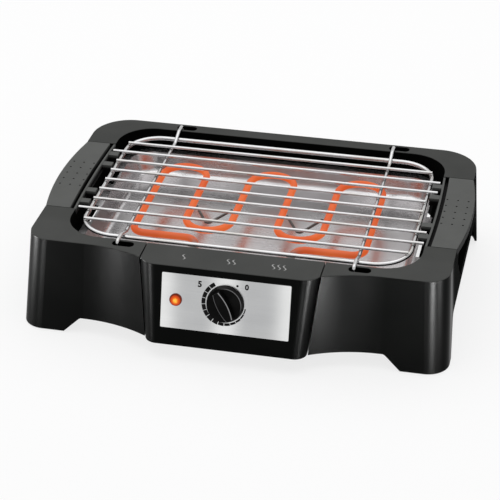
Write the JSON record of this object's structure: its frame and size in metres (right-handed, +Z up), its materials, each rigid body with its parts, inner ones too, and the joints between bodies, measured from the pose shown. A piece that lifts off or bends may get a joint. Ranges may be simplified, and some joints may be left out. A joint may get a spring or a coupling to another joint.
{
  "type": "electric_table_grill",
  "caption": "Table-top electric grill with a lift-off wire grid, glowing tube element, drip tray, lift-out control box with a turning knob, and two side handles on a black ring base",
  "frame": {"origin": "on the table, under the middle of the whole grill", "axes": "+X to the right seen from the front, +Y to the back, +Z up; the knob's side faces -Y"},
  "size_m": [0.48, 0.3656, 0.1093],
  "materials": {
    "body_plastic": "moulded black, satin on top and glossier on the walls",
    "handle_plastic": "fine matt grain, dark grey",
    "foot_rubber": "matt black rubber",
    "tray_metal": "pressed bright sheet",
    "panel_steel": "brushed across",
    "lamp_lens": "clear orange, lit",
    "lamp_glass": "clear glass tube, lit",
    "knob_plastic": "glossy black",
    "lead_cover": "soft woven sleeve",
    "terminal_ceramic": "unglazed, pale",
    "element_tube": "heated tube, glowing in the legs, dark near the box",
    "grid_wire": "bright plated wire",
    "support_wire": "dark wire, scaled by heat",
    "inner_steel": "plain zinc-plated steel"
  },
  "bodies": {
    "base": {"base_shell": "body_plastic", "handle_left": "handle_plastic", "handle_right": "handle_plastic", "side_guide_left": "handle_plastic", "side_guide_right": "handle_plastic", "handle_screws": "inner_steel", "foot_pad_front_left": "foot_rubber", "foot_pad_front_right": "foot_rubber", "foot_pad_rear_left": "foot_rubber", "foot_pad_rear_right": "foot_rubber"},
    "tray": {"drip_tray": "tray_metal"},
    "control_unit": {"control_housing": "body_plastic", "panel_plate": "panel_steel", "pilot_lens": "lamp_lens", "pilot_lamp": "lamp_glass", "thermostat_body": "inner_steel", "thermostat_screws": "inner_steel", "rear_plate": "inner_steel", "bottom_cover": "body_plastic", "cover_screws": "inner_steel", "cord_bush": "foot_rubber", "terminal_block": "terminal_ceramic", "internal_leads": "lead_cover", "heating_element": "element_tube", "element_pins": "inner_steel", "element_collars": "inner_steel", "element_support_left": "support_wire", "element_support_right": "support_wire"},
    "dial": {"knob": "knob_plastic", "thermostat_shaft": "inner_steel"},
    "grill_grid": {"grid_frame": "grid_wire", "grid_bar_1": "grid_wire", "grid_bar_2": "grid_wire", "grid_bar_3": "grid_wire", "grid_bar_4": "grid_wire", "grid_bar_5": "grid_wire", "grid_bar_6": "grid_wire", "grid_bar_7": "grid_wire", "grid_bar_8": "grid_wire", "grid_bar_9": "grid_wire", "cross_wire_left": "grid_wire", "cross_wire_right": "grid_wire"}
  },
  "joints": [
    {"name": "tray_lift", "type": "slide", "parent": "base", "child": "tray", "axis": [0, 0, 1], "range_m": [0, 0.06]},
    {"name": "control_lift", "type": "slide", "parent": "tray", "child": "control_unit", "axis": [0, 0, 1], "range_m": [0, 0.1]},
    {"name": "grid_lift", "type": "slide", "parent": "control_unit", "child": "grill_grid", "axis": [0, 0, 1], "range_m": [0, 0.06]},
    {"name": "dial_turn", "type": "hinge", "parent": "control_unit", "child": "dial", "pos_m": [0, -0.16443, 0.0704], "axis": [0, -0.9703, 0.2419], "range_deg": [0, 290]}
  ]
}
